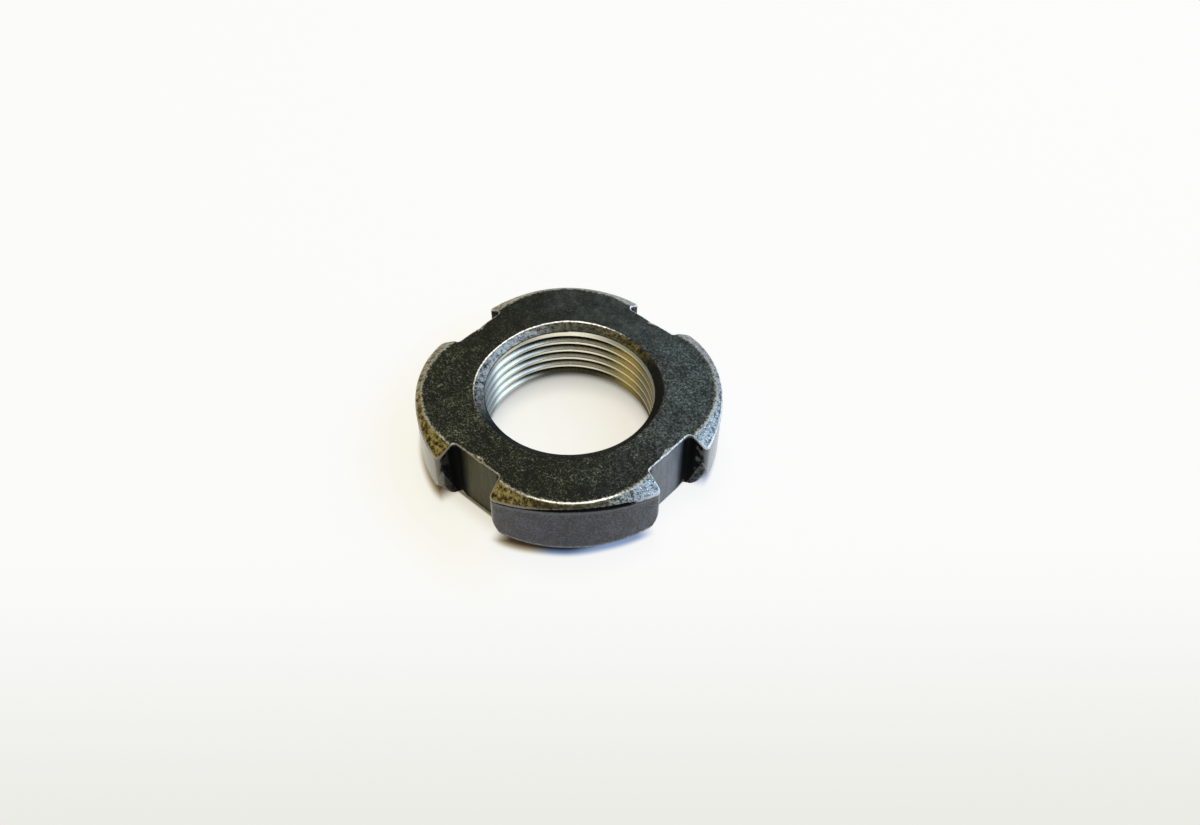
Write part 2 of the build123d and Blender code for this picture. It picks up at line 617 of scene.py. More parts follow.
    def side_row(self, height: Array, low: Array, high: Array) -> tuple[Array, Layers]:
        """One row of the upright side.

        Args:
            height: Height of each column's point.
            low: Height at which the upright side starts in each column.
            high: Height at which it ends.

        Returns:
            Rows of x, y, z, and the values of the layers.
        """
        columns = self.columns
        plan, run = columns.plan, columns.wall_run
        places = np.column_stack([plan * 0.6, height])
        inner = grains(places, self.torn_width - 0.55, (0.14, 0.55, 8.0), (0.07, 2.0, 9.0))
        outer = grains(places, -0.42, (0.16, 0.7, 10.0), (0.10, 1.9, 11.0))
        torn = ramp(inner - run, 0.0, 0.12) * ramp(run - outer, 0.0, 0.18)
        torn = torn * ramp(height - low, 0.0, 0.35) * ramp(high - height, 0.0, 0.35)
        places = np.column_stack([plan, height])
        rough = grains(places, 0.5, (0.6, 1.1, 12.0), (0.35, 2.6, 13.0))
        inward = torn * (0.03 + self.torn_depth * np.clip(rough, 0.0, 1.0))
        inward = inward + 0.003 + 0.012 * grains(places, 1, (1, 0.35, 14.0))
        points = np.column_stack([plan - columns.outward * inward[:, None], height])
        # Painted shade line just under the upper lip
        lip = self.lip_shade_line * bell(high - height, 0.0, 0.10 + 0.14 * ramp(columns.lug_share, -0.2, 0.5))
        level_edges = 0.45 * bell(high - height, 0.42, 0.22) + 0.8 * bell(height - low, 0.0, 0.16)
        upright_edge = 0.55 * (bell(run, -0.75, 0.4) * (columns.lug_share < 0))
        light = np.maximum(level_edges, upright_edge)
        return points, {"torn": torn, "wall": self.wall_share, "lip": lip, "edge": light}

    @cached_property
    def wall_share(self) -> Array:
        """Painted shade of each column: full on the slot walls, fading out over the slot floors.

        Returns:
            Numbers from 0 to 1.
        """
        columns = self.columns
        shade = columns.by_quarter(self.root_shades)
        dark = ramp((self.wall_end_run + shade - columns.wall_run) / np.maximum(shade, 0.1), 0.0, 1.0)
        return dark * columns.in_slot()

    @cached_property
    def torn_corner(self) -> Array:
        """How much of each column's lower slope carries on the torn band of the slot wall."""
        run, reach = self.columns.wall_run, self.columns.by_quarter(self.torn_corners)
        return ramp(self.torn_width - run, 0.0, 0.3) * ramp(run + reach, 0.0, 0.5)

    def rings(self) -> list[tuple[Array, Layers, Finish]]:
        """All rings of the body, from the lower throat out, up the side, and in to the upper throat.

        Returns:
            For each ring its points, layer values, and the finish of the faces after it.
        """
        height = self.body.height
        below, above = self.face_rows(self.lower), self.face_rows(self.upper)
        rings: list[tuple[Array, Layers, Finish]] = []
        crease = len(self.sink_shares) + len(self.rim_wear) + len(self.flat_shares) + 1
        side = {"torn": self.torn_corner, "wall": self.wall_share}
        for index, (plan, depth, values) in enumerate(below):
            points = np.column_stack([plan, depth])
            if index < crease:
                rings.append((points, values, Finish.SKIN))
            else:
                rings.append((points, {**values, **side}, Finish.SIDE))
        low = below[-1][1]
        high = height - above[-1][1]
        for share in np.linspace(0, 1, self.side_rows + 2)[1:-1]:
            rings.append((*self.side_row(low + (high - low) * share, low, high), Finish.SIDE))
        for plan, depth, values in reversed(above):
            rings.append((np.column_stack([plan, height - depth]), values, Finish.SKIN))
        return rings

    def bore_chain(self, angle: float) -> Array:
        """Heights of one column of the bore between the throats, from the top down.

        Args:
            angle: Angle round the axis, in radians.

        Returns:
            Heights in millimetres.
        """
        bottom = self.body.countersink_depth
        top = self.body.height - bottom
        heights = [groove + offset for groove in self.thread.grooves(angle) for offset in self.thread.row_offsets]
        inside = [height for height in heights if bottom + self.bore_margin < height < top - self.bore_margin]
        return np.array(sorted([top, bottom, *inside], reverse=True))

    def add_bore(self, skin: Skin, angles: Array) -> tuple[list[int], list[int]]:
        """Adds the threaded wall.

        Args:
            skin: Surface that gets the wall.
            angles: Angles of its columns.

        Returns:
            Vertex numbers of its top ring and of its bottom ring.
        """
        chains = []
        for angle in angles:
            heights = self.bore_chain(angle)
            cuts = np.array([self.thread.cut(angle, height) for height in heights])
            radius = self.body.throat_radius + cuts
            points = np.column_stack([radius * math.cos(angle), radius * math.sin(angle), heights])
            first = skin.add_points(points, groove=cuts / self.thread.groove_depth)
            chains.append((first, heights))
        for (first, heights), (other, others) in zip(chains, chains[1:] + chains[:1]):
            here = there = 0
            while here < len(heights) - 1 or there < len(others) - 1:
                last_here = here == len(heights) - 1
                last_there = there == len(others) - 1
                if last_there or (not last_here and heights[here + 1] >= others[there + 1]):
                    skin.add_face((first + here, other + there, first + here + 1), Finish.THREAD)
                    here += 1
                else:
                    skin.add_face((first + here, other + there, other + there + 1), Finish.THREAD)
                    there += 1
        return [first for first, _ in chains], [first + len(heights) - 1 for first, heights in chains]

    def surface(self) -> Skin:
        """Puts the whole closed surface of the nut together.

        Returns:
            The surface.
        """
        skin = Skin()
        columns, rings = self.columns, self.rings()
        count = len(columns.plan)
        firsts = [skin.add_points(points, **values) for points, values, _ in rings]
        slot = columns.in_slot()
        deep = slot & (columns.wall_run > self.deep_run)
        corners_end = (len(rings) - self.side_rows) // 2
        for index, (this, after) in enumerate(zip(firsts, firsts[1:])):
            finish = rings[index][2]
            inner = deep if index < corners_end else slot
            for column in range(count):
                follow = (column + 1) % count
                inside = finish is Finish.SIDE and inner[column] and inner[follow]
                corners = (this + column, this + follow, after + follow, after + column)
                skin.add_face(corners, Finish.SLOT if inside else finish)
        tops, bottoms = self.add_bore(skin, columns.rim_angle[::2])
        for ring, ends, way in ((firsts[-1], tops, 1), (firsts[0], bottoms, -1)):
            for here, there, left in zip(ends, ends[1:] + ends[:1], range(0, count, 2)):
                left, middle, right = ring + left, ring + left + 1, ring + (left + 2) % count
                for corners in ((left, middle, here), (middle, there, here), (middle, right, there)):
                    skin.add_face(corners[::way], Finish.SKIN)
        return skin

    def build(self, materials: list[bpy.types.Material]) -> bpy.types.Object:
        """Makes the nut's mesh object.

        Args:
            materials: Materials in the order of Finish.

        Returns:
            The new object, linked to the scene.
        """
        skin = self.surface()
        mesh = bpy.data.meshes.new(self.name)
        points = np.vstack(skin.points) * MM
        mesh.from_pydata(points.tolist(), [], skin.faces)
        for material in materials:
            mesh.materials.append(material)
        mesh.polygons.foreach_set("material_index", skin.finishes)
        mesh.polygons.foreach_set("use_smooth", [True] * len(mesh.polygons))
        for name in self.layers:
            layer = mesh.attributes.new(name, "FLOAT", "POINT")
            layer.data.foreach_set("value", skin.layer(name))
        mesh.update()
        piece = bpy.data.objects.new(self.name, mesh)
        bpy.context.scene.collection.objects.link(piece)
        LOG.info("%s: %d vertices, %d faces", self.name, len(mesh.vertices), len(mesh.polygons))
        return piece


# Level directions over the nut: to the photograph's right, and away from its camera
ACROSS: Triple = (0.73, 0.68, 0.0)
BACK: Triple = (-0.68, 0.73, 0.0)


def colour(red: float, green: float, blue: float) -> Colour:
    """An opaque colour."""
    return (red, green, blue, 1.0)


@dataclass(frozen=True)
class Value:
    """Number, colour or vector that a graph works out, with the sums that make up a finish."""

    graph: "Graph"
    socket: bpy.types.NodeSocket

    def __add__(self, other: object) -> "Value":
        """Sum of two numbers."""
        return self.graph.math("ADD", self, other)

    def __sub__(self, other: object) -> "Value":
        """Difference of two numbers."""
        return self.graph.math("SUBTRACT", self, other)

    def __rsub__(self, other: float) -> "Value":
        """What this number leaves of another."""
        return self.graph.math("SUBTRACT", other, self)

    def __mul__(self, other: object) -> "Value":
        """Product of two numbers."""
        return self.graph.math("MULTIPLY", self, other)

    def __pow__(self, other: float) -> "Value":
        """Power of this number."""
        return self.graph.math("POWER", self, other)

    def __abs__(self) -> "Value":
        """This number without its sign."""
        return self.graph.math("ABSOLUTE", self)

    def along(self, direction: Triple) -> "Value":
        """How far this vector reaches along a direction."""
        return self.graph.output("Value", "ShaderNodeVectorMath", {0: self, 1: direction}, operation="DOT_PRODUCT")

    def step(self, low: float, high: float) -> "Value":
        """Smooth step of this number from 0 at low to 1 at high."""
        limits = {"Value": self, "From Min": low, "From Max": high}
        return self.graph.output("Result", "ShaderNodeMapRange", limits, interpolation_type="SMOOTHSTEP")

    def span(self, first: float, second: float) -> "Value":
        """Number between two limits, with this one as the share."""
        return self.graph.output("Result", "ShaderNodeMapRange", {"Value": self, "To Min": first, "To Max": second})

    def blend(self, first: object, second: object) -> "Value":
        """Mix of two colours, with this number as the share of the second."""
        return self.graph.blend(self, first, second)


class Graph:
    """Node tree of a material or of the world, with short calls that add and link nodes."""

    def __init__(self, name: str, owner: bpy.types.World | None = None) -> None:
        """Starts an empty tree.

        Args:
            name: Name of the new material.
            owner: World that gets the tree in place of a new material.
        """
        self.material = owner or bpy.data.materials.new(name)
        self.material.use_nodes = True
        self.tree = self.material.node_tree
        self.tree.nodes.clear()

    def node(self, kind: str, inputs: dict | None = None, **settings: object) -> bpy.types.Node:
        """Adds a node.

        Args:
            kind: Type name of the node.
            inputs: Plain values, or values of this graph, by input name or number.
            settings: Properties of the node.

        Returns:
            The new node.
        """
        made = self.tree.nodes.new(kind)
        for name, setting in settings.items():
            setattr(made, name, setting)
        for name, value in (inputs or {}).items():
            value = value.socket if isinstance(value, Value) else value
            if isinstance(value, bpy.types.NodeSocket):
                self.tree.links.new(value, made.inputs[name])
            else:
                made.inputs[name].default_value = value
        return made

    def output(self, name: str | int, kind: str, inputs: dict | None = None, **settings: object) -> Value:
        """One output of a new node."""
        return Value(self, self.node(kind, inputs, **settings).outputs[name])

    def math(self, operation: str, first: object, second: object = 0.0) -> Value:
        """Result of a sum on two numbers."""
        return self.output(0, "ShaderNodeMath", {0: first, 1: second}, operation=operation)

    def most(self, *values: object) -> Value:
        """The largest of some numbers."""
        return reduce(lambda largest, value: self.math("MAXIMUM", largest, value), values)

    def layer(self, name: str) -> Value:
        """A vertex layer's number."""
        return self.output("Fac", "ShaderNodeAttribute", attribute_name=name)

    def millimetres(self, stretch: Triple = (1.0, 1.0, 1.0)) -> Value:
        """Place on the object in millimetres, stretched along its axes."""
        inputs = {"Vector": self.output("Object", "ShaderNodeTexCoord"), "Scale": [side / MM for side in stretch]}
        return self.output("Vector", "ShaderNodeMapping", inputs)

    def ramp(self, value: Value, stops: Iterable[tuple[float, Colour]]) -> Value:
        """Colour read from stops along a number.

        Args:
            value: Number from 0 to 1.
            stops: Place and colour of each stop, in order.

        Returns:
            The colour.
        """
        made = self.node("ShaderNodeValToRGB", {"Fac": value})
        points = made.color_ramp.elements
        for index, (place, shade) in enumerate(stops):
            point = points[index] if index < 2 else points.new(place)
            point.position = place
            point.color = shade
        return Value(self, made.outputs["Color"])

    def blend(self, share: object, first: object, second: object, mode: str = "MIX") -> Value:
        """Mix of two colours by the share of the second."""
        return self.output(2, "ShaderNodeMix", {0: share, 6: first, 7: second}, data_type="RGBA", blend_type=mode)

    def coats(self, base: object, *coats: tuple[object, object]) -> Value:
        """A colour under further coats, laid on in order, each with its share and colour."""
        return reduce(lambda under, coat: self.blend(coat[0], under, coat[1]), coats, base)

    def bump(self, height: Value, strength: float, distance: float) -> Value:
        """Normal of a surface that is rough by a height, over a distance in metres."""
        inputs = {"Height": height, "Strength": strength, "Distance": distance}
        return self.output("Normal", "ShaderNodeBump", inputs)

    def surface(self, **inputs: object) -> bpy.types.Material:
        """Closes the tree with a principled surface, its inputs named with underscores for spaces."""
        named = {name.replace("_", " "): value for name, value in inputs.items()}
        return self.close(self.output("BSDF", "ShaderNodeBsdfPrincipled", named))

    def close(self, shader: Value, kind: str = "ShaderNodeOutputMaterial") -> bpy.types.Material:
        """Links a shader to the tree's output, and gives what the tree belongs to."""
        self.node(kind, {"Surface": shader})
        return self.material


class NutGraph(Graph):
    """Node tree of one of the nut's finishes, with the places on the nut that it follows."""

    @cached_property
    def place(self) -> Value:
        """Place on the nut in millimetres."""
        return self.millimetres()

    @cached_property
    def across(self) -> Value:
        """How far the place lies to the right in the photograph, from the nut's axis."""
        return self.place.along(ACROSS)

    @cached_property
    def back(self) -> Value:
        """How far the place lies away from the camera, from the nut's axis."""
        return self.place.along(BACK)

    def noise(self, scale: float, detail: float, rough: float, place: Value | None = None) -> Value:
        """Noise number at the place on the nut, or at another one, with its waves per millimetre."""
        inputs = {"Vector": place or self.place, "Scale": scale, "Detail": detail, "Roughness": rough}
        return self.output("Fac", "ShaderNodeTexNoise", inputs)


@dataclass(frozen=True)
class SideLightTint:
    """Painted light: the phosphate turns from olive at the left to a lighter blue-grey at the right across the nut,
    as if lit warm from the left and cool from the right, along a wavering front.
    """

    angle: float = 57.0
    olive: float = -6.0
    grey: float = 17.0
    waver: float = 16.0

    def share(self, g: NutGraph) -> Value:
        """Share of the painted blue-grey light.

        Args:
            g: Graph of the finish.

        Returns:
            Number from 0, olive, to 1, blue-grey.
        """
        turn = math.radians(self.angle)
        across = g.place.along((math.cos(turn), math.sin(turn), 0.0))
        shift = (g.noise(0.25, 3.0, 0.6) - 0.5) * self.waver
        return (across + shift).step(self.olive, self.grey)


@dataclass(frozen=True)
class EdgeWear:
    """Bare steel where tumbling and handling have worn through the finish, in places a painted highlight."""

    bare: Colour = colour(0.50, 0.48, 0.40)
    # Partly a painted highlight: the near-white of worn edges at the right
    silver: Colour = colour(0.93, 0.94, 0.95)
    # Painted highlight: cream of the worn lines on the rim behind the bore and the crease in front
    bright: Colour = colour(0.93, 0.90, 0.82)
    soft: Colour = colour(0.52, 0.51, 0.43)

    def share(self, g: NutGraph, line: Value, ragged: float = 1.3) -> Value:
        """Share of bare steel along a line that is 1 on the edge itself, ragged by an amount."""
        waves = (g.noise(2.8, 4.0, 0.72) - 0.5) * ragged
        return (line + waves).step(0.50, 1.00)

    def edge(self, side: Value) -> Value:
        """Colour of a worn edge: cream where the phosphate is olive, silver where it is grey."""
        return side.blend(self.bare, self.silver)


@dataclass(frozen=True)
class LipShadeLine:
    """Painted shade: a near-black line along the forged lip over the outer face."""

    black: Colour = colour(0.002, 0.002, 0.003)
    ragged: float = 2.3

    def share(self, g: NutGraph) -> Value:
        """Share of the painted shade line, ragged along its length."""
        lip = g.layer("lip")
        return (lip + (g.noise(2.6, 4.0, 0.7) - 0.5) * self.ragged * lip).step(0.22, 0.48)


@dataclass(frozen=True)
class TornSteel:
    """Rough torn metal of the outer band of each slot wall."""

    dark: Colour = colour(0.003, 0.003, 0.004)
    brown: Colour = colour(0.040, 0.034, 0.026)
    light: Colour = colour(0.130, 0.130, 0.140)

    def over(self, g: NutGraph, side: Value, base: Value) -> Value:
        """Lays the torn metal over a colour.

        Args:
            g: Graph of the finish.
            side: Share of blue-grey.
            base: Colour of the smooth wall.

        Returns:
            The colour with the torn metal.
        """
        rock = g.noise(0.9, 2.0, 0.5) + g.noise(3.0, 3.0, 0.7) * 0.35
        bare = side.blend(self.brown, self.light)
        return g.layer("torn").blend(base, rock.step(0.62, 0.76).blend(self.dark, bare))


@dataclass(frozen=True)
class ForgedFinish:
    """What the finishes outside the bore share: their painted side-light tint, worn edges, painted shade line along
    the lip and torn metal.
    """

    tint: SideLightTint = SideLightTint()
    wear: EdgeWear = EdgeWear()
    lip_shade: LipShadeLine = LipShadeLine()
    torn: TornSteel = TornSteel()


@dataclass(frozen=True)
class PhosphateSkin(ForgedFinish):
    """Sandy dark phosphate of the end faces, worn to bare steel along edges and on the slopes, with painted
    highlights on the rim and crease and painted reflections on the slopes and countersinks.

    The olive and the grey each go from the pits through the body to the grit.
    """

    levels: Numbers = (0.34, 0.44, 0.54, 0.62, 0.74)
    olive: tuple[Colour, ...] = (
        colour(0.0015, 0.002, 0.001),
        colour(0.0055, 0.006, 0.0025),
        colour(0.0115, 0.0130, 0.0060),
        colour(0.060, 0.064, 0.030),
        colour(0.24, 0.25, 0.18),
    )
    # Lighter blue-grey of the painted cool side light at the right
    grey: tuple[Colour, ...] = (
        colour(0.004, 0.005, 0.005),
        colour(0.019, 0.024, 0.023),
        colour(0.045, 0.059, 0.059),
        colour(0.092, 0.114, 0.118),
        colour(0.19, 0.22, 0.24),
    )
    # Painted reflections on the slopes: golden at the left, silvery at the right, dark where they face the front, and
    # white glints
    slope_brown: Colour = colour(0.050, 0.041, 0.012)
    slope_gold: Colour = colour(0.54, 0.50, 0.255)
    slope_slate: Colour = colour(0.050, 0.058, 0.066)
    slope_silver: Colour = colour(0.378, 0.388, 0.388)
    slope_dark_reflection: Colour = colour(0.080, 0.070, 0.042)
    glint: Colour = colour(0.95, 0.96, 0.97)
    # Countersink colours: painted reflections, dark in front, pale at the left, golden behind at the right
    sink_dark: Colour = colour(0.007, 0.008, 0.010)
    sink_light: Colour = colour(0.37, 0.385, 0.38)
    sink_olive: Colour = colour(0.075, 0.075, 0.050)
    sink_gold: Colour = colour(0.25, 0.215, 0.09)

    def sand(self, g: NutGraph, fine: Value, side: Value) -> Value:
        """Colour of the flat phosphate, calmer and darker toward the back.

        Args:
            g: Graph of the finish.
            fine: Fine grain, about 0.5 on average.
            side: Share of blue-grey.

        Returns:
            The colour.
        """
        patch = (g.noise(1.0, 2.0, 0.5) - 0.5) * 0.20
        broad = (g.noise(0.3, 2.0, 0.5) - 0.5) * 0.16
        back = g.back
        calm = back.step(3.0, 13.0).span(1.3, 0.5)
        level = (fine - 0.50) * calm + (patch + broad)
        level = level + back.step(5.0, 14.0).span(0.0, -0.014)
        level = level + back.step(-8.0, -14.0).span(0.49, 0.462)
        return side.blend(g.ramp(level, zip(self.levels, self.olive)), g.ramp(level, zip(self.levels, self.grey)))

    def slope(self, g: NutGraph, fine: Value) -> Value:
        """Colour of the worn slopes, with fine dark grain left in the hollows and painted reflections over it.

        Args:
            g: Graph of the finish.
            fine: Fine grain.

        Returns:
            The colour, with a painted golden reflection at the left lug, a painted silvery one with white glints at
            the right one, and a painted dark reflection where they face the front.
        """
        tiny = g.noise(6.5, 2.0, 0.6)
        blotch = g.noise(1.7, 2.0, 0.5) * 0.65
        shade = fine * 0.5 + (tiny * 0.4 + blotch)
        brown = shade.step(0.68, 0.90).blend(self.slope_brown, self.slope_gold)
        slate = shade.step(0.64, 0.88).blend(self.slope_slate, self.slope_silver)
        # Painted glints on the silvery slopes
        slate = tiny.step(0.60, 0.68).blend(slate, self.glint)
        # Painted dark reflection in the middle, painted gold at the left and silver at the right
        middle = abs(g.across).step(7.0, 2.5)
        grey = (g.across + blotch * 4.0).step(2.5, 10.5)
        return (middle * 0.8).blend(grey.blend(brown, slate), self.slope_dark_reflection)

    def sunk(self, g: NutGraph, fine: Value) -> Value:
        """Colour of the countersinks, painted with reflections: near black in front, lighter at the left and behind,
        golden behind at the right.

        Args:
            g: Graph of the finish.
            fine: Fine grain.

        Returns:
            The colour.
        """
        across, back = g.across, g.back
        wave = g.noise(1.4, 3.0, 0.6) * 0.5 + fine * 0.5
        # Painted reflections: lit at the left and behind, golden behind at the right
        lit = across.step(9.0, 5.0) * back.step(-7.0, 1.5)
        pale = across.step(-1.0, -7.0).blend(self.sink_olive, self.sink_light)
        steel = (wave.step(0.38, 0.60) * lit).blend(self.sink_dark, pale)
        gold = across.step(3.0, 7.0) * back.step(3.5, 7.5)
        return (gold * wave.step(0.40, 0.66)).blend(steel, self.sink_gold)

    def material(self) -> bpy.types.Material:
        """Builds the material.

        Returns:
            The finished material.
        """
        g = NutGraph("phosphate_skin")
        across, back = g.across, g.back
        fine = g.noise(3.6, 4.0, 0.80)
        # Painted light: share of the lighter blue-grey toward the right
        side = self.tint.share(g)
        relief, sink, crease = g.layer("relief"), g.layer("sink"), g.layer("crease")
        cells = g.node("ShaderNodeTexVoronoi", {"Vector": g.place, "Scale": 6.0})
        pick = g.node("ShaderNodeSeparateColor", {"Color": cells.outputs["Color"]})
        dots = Value(g, cells.outputs["Distance"]).step(0.42, 0.20)
        specks = Value(g, pick.outputs["Red"]).step(0.72, 1.04) * dots
        # Painted highlight: the worn lines on the rim behind the bore and the crease in front are stronger and cream
        # there
        front = abs(across - 0.5).step(8.5, 4.0) * back.step(-13.5, -15.0)
        behind = back.step(-7.0, 3.0) * across.step(9.0, 4.5)
        rim = g.layer("rim") * behind.span(0.50, 1.02)
        crease_wear_and_highlight = crease**4.0 * front.span(0.25, 1.02)
        line = self.wear.share(g, g.most(rim, crease_wear_and_highlight), 1.25)
        sandy = self.wear.share(g, crease * 0.84, 1.7)
        worn = self.wear.share(g, g.layer("edge"))
        # Painted shade: the dark line along the upper lip
        lip = self.lip_shade.share(g)
        lit = g.most(front, back.step(-1.0, 6.0))
        base = g.coats(
            self.sand(g, fine, side),
            (specks * side.span(0.65, 0.35), side.blend(self.olive[-1], self.grey[-1])),
            (sink * 0.92, self.sunk(g, fine)),
            (relief, self.slope(g, fine)),
            (worn, self.wear.edge(side)),
            (sandy * 0.75, self.wear.soft),
            (line, lit.blend(self.wear.soft, self.wear.bright)),
            (lip, self.lip_shade.black),
        )
        worn = g.most(worn, line, sandy * 0.7)
        metal = g.most(relief * 0.9, worn, specks * 0.4, sink * 0.6) * (1.0 - lip)
        rough = g.most(relief, sink).span(0.66, 0.36) - worn * 0.06
        rough = g.math("MINIMUM", rough + lip * 0.5, 1.0)
        bump = g.bump(fine + Value(g, pick.outputs["Green"]) * (dots * 0.25), 0.75, 0.00007)
        return g.surface(Base_Color=base, Metallic=metal, Roughness=rough, Normal=bump, Specular_IOR_Level=0.14)


@dataclass(frozen=True)
class SatinSide(ForgedFinish):
    """Smooth satin of the lugs' outer faces, mottled with darker oil and fine rubs, with one pit, and a painted
    reflection that makes the left and right lugs' faces lighter.
    """

    dark: Colour = colour(0.002, 0.002, 0.004)
    grey_dark: Colour = colour(0.012, 0.022, 0.032)
    light: Colour = colour(0.064, 0.065, 0.094)
    grey_light: Colour = colour(0.086, 0.124, 0.158)
    band: Colour = colour(0.16, 0.17, 0.18)
    # Painted reflection on the left and right lugs' faces: golden at the left, blue-grey at the right
    reflection_left: Colour = colour(0.17, 0.15, 0.09)
    reflection_right: Colour = colour(0.19, 0.21, 0.23)
    pit_place: Triple = (18.85, -7.25, 6.17)
    pit_size: float = 0.2

    def material(self) -> bpy.types.Material:
        """Builds the material.

        Returns:
            The finished material.
        """
        g = NutGraph("satin_side")
        across = g.across
        fine = g.noise(3.4, 4.0, 0.78)
        smear = g.noise(1.0, 3.0, 0.6, g.millimetres((0.7, 0.7, 0.45)))
        rubs = g.noise(1.7, 4.0, 0.7, g.millimetres((0.4, 0.4, 4.0)))
        mottle = fine * 0.67 + (rubs * 0.13 + smear * 0.20)
        # Painted light: share of the lighter blue-grey toward the right
        side = self.tint.share(g)
        edge, torn = g.layer("edge"), g.layer("torn")
        # Worn edges, and the painted shade line under the upper lip
        worn, lip = self.wear.share(g, edge), self.lip_shade.share(g)
        dark, light = side.blend(self.dark, self.grey_dark), side.blend(self.light, self.grey_light)
        # Painted reflection: the faces of the left and right lugs lighter
        side_reflection = g.most(across.step(-13.0, -16.5), across.step(13.0, 16.5)) * mottle.step(0.20, 0.52)
        pit = g.output("Value", "ShaderNodeVectorMath", {0: g.place, 1: self.pit_place}, operation="DISTANCE")
        smooth = g.coats(
            mottle.step(0.47, 0.555).blend(dark, light),
            (side_reflection, across.step(-2.0, 2.0).blend(self.reflection_left, self.reflection_right)),
            (edge, self.band),
            (pit.step(self.pit_size, self.pit_size * 0.5), self.lip_shade.black),
        )
        base = g.coats(self.torn.over(g, side, smooth), (worn, self.wear.edge(side)), (lip, self.lip_shade.black))
        rough = g.most(torn, lip).span(0.07, 0.75) + fine * 0.16
        bump = g.bump(mottle * torn.span(0.6, 2.2), 0.6, 0.00005)
        return g.surface(Base_Color=base, Metallic=worn * (1.0 - lip), Roughness=rough, Normal=bump, IOR=1.47)


@dataclass(frozen=True)
class SlotSide(ForgedFinish):
    """Dull drawn floors of the spanner slots with torn outer bands, painted shade on the near-black walls and fading
    out over the floors by the roots, and painted side light.
    """

    olive: Colour = colour(0.045, 0.042, 0.017)
    olive_light: Colour = colour(0.077, 0.073, 0.033)
    grey: Colour = colour(0.18, 0.205, 0.245)
    grey_light: Colour = colour(0.27, 0.31, 0.37)
    wall: Colour = colour(0.0008, 0.0012, 0.0012)
    wall_streak: Colour = colour(0.010, 0.010, 0.016)

    def material(self) -> bpy.types.Material:
        """Builds the material.

        Returns:
            The finished material.
        """
        g = NutGraph("slot_side")
        streaks = g.noise(1.2, 4.0, 0.6, g.millimetres((2.2, 2.2, 0.15)))
        fine = g.noise(2.4, 4.0, 0.7)
        drawn = streaks * 0.5 + fine * 0.5
        # Painted light toward the right, and the painted shade of the walls and roots
        side, wall = self.tint.share(g), g.layer("wall")
        level = drawn.step(0.36, 0.64)
        floor = side.blend(level.blend(self.olive, self.olive_light), level.blend(self.grey, self.grey_light))
        # Painted shade: near-black walls, and the dark that the wall layer fades out over the floors
        dark = streaks.step(0.48, 0.72).blend(self.wall, self.wall_streak)
        worn = self.wear.share(g, g.layer("edge"))
        base = worn.blend(self.torn.over(g, side, wall.blend(floor, dark)), self.wear.edge(side))
        metal = g.most(worn, (1.0 - wall) * 0.5)
        rough = wall.span(0.30, 0.62) + fine * 0.14
        bump = g.bump(drawn * g.layer("torn").span(0.5, 2.2), 0.6, 0.00005)
        return g.surface(Base_Color=base, Metallic=metal, Roughness=rough, Normal=bump, Specular_IOR_Level=0.06)


@dataclass(frozen=True)
class CutThread:
    """Bare steel of the cut thread, with bright crests and fine turning lines, and painted light: shade in the
    grooves and at the foot, a highlight and duller crests at the left, a golden reflection and dimmer grey at the
    right.
    """

    steel: Colour = colour(0.98, 0.955, 0.84)
    worn: Colour = colour(0.80, 0.765, 0.63)
    # Painted shade of the roots and of the thread's foot, lighter at the left
    groove_shade: Colour = colour(0.062, 0.060, 0.033)
    left_root: Colour = colour(0.145, 0.122, 0.092)
    dull: Colour = colour(0.39, 0.38, 0.355)
    # Painted light: dim tones for the right side, a golden reflection at the right, a highlight at the left and a
    # shade at the far left
    dusk: Colour = colour(0.135, 0.148, 0.112)
    grey: Colour = colour(0.12, 0.165, 0.215)
    gold_reflection: Colour = colour(0.92, 0.84, 0.44)
    gleam: Colour = colour(0.58, 0.57, 0.54)
    dim: Colour = colour(0.075, 0.070, 0.065)

    def material(self) -> bpy.types.Material:
        """Builds the material.

        Returns:
            The finished material.
        """
        g = NutGraph("cut_thread")
        across, height = g.across, g.place.along((0.0, 0.0, 1.0))
        lines = g.noise(1.3, 3.0, 0.6, g.millimetres((0.2, 0.2, 6.0)))
        blotch = g.noise(0.8, 3.0, 0.6)
        # Painted reflections round the bore, by how far across it a place lies
        glow = across.step(5.0, 8.0) * across.step(10.4, 8.4)
        shine = across.step(-5.4, -8.2) * across.step(-10.6, -9.2)
        end = across.step(-9.8, -11.0)
        far = across.step(8.0, 10.0).blend(self.dusk, self.grey)
        # Painted shade along the top turn at the right and at the thread's foot
        lead = height.step(7.9, 8.4) * across.step(1.0, 8.0)
        foot = height.step(2.3, 1.5) * across.step(-8.0, -3.0)
        root = g.coats(
            across.step(-1.0, -8.0).blend(self.groove_shade, self.left_root),
            (shine, self.gleam),
            (end, self.dim),
            (across.step(3.5, 8.5), far),
            (glow * 0.9, self.gold_reflection),
        )
        crest = g.coats(
            lines.step(0.35, 0.75).blend(self.steel, self.worn),
            (blotch.step(0.5, 0.75) * 0.5, self.worn),
            (across.step(-1.5, -7.5), self.dull),
        )
        base = g.coats(
            across.step(2.0, 9.0).blend(crest, g.blend(0.65, crest, far)),
            (glow * 0.5, self.gold_reflection),
            (shine * 0.8, self.worn),
            (end * 0.6, self.dim),
            # Painted shade in the grooves
            (g.layer("groove").step(0.18, 0.66), root),
            (lead * 0.75, self.dusk),
            (foot * across.step(3.0, 8.0).span(0.92, 0.35), self.groove_shade),
        )
        bump = g.bump(lines, 0.25, 0.00003)
        return g.surface(Base_Color=base, Metallic=1.0, Roughness=blotch.span(0.19, 0.32), Normal=bump)


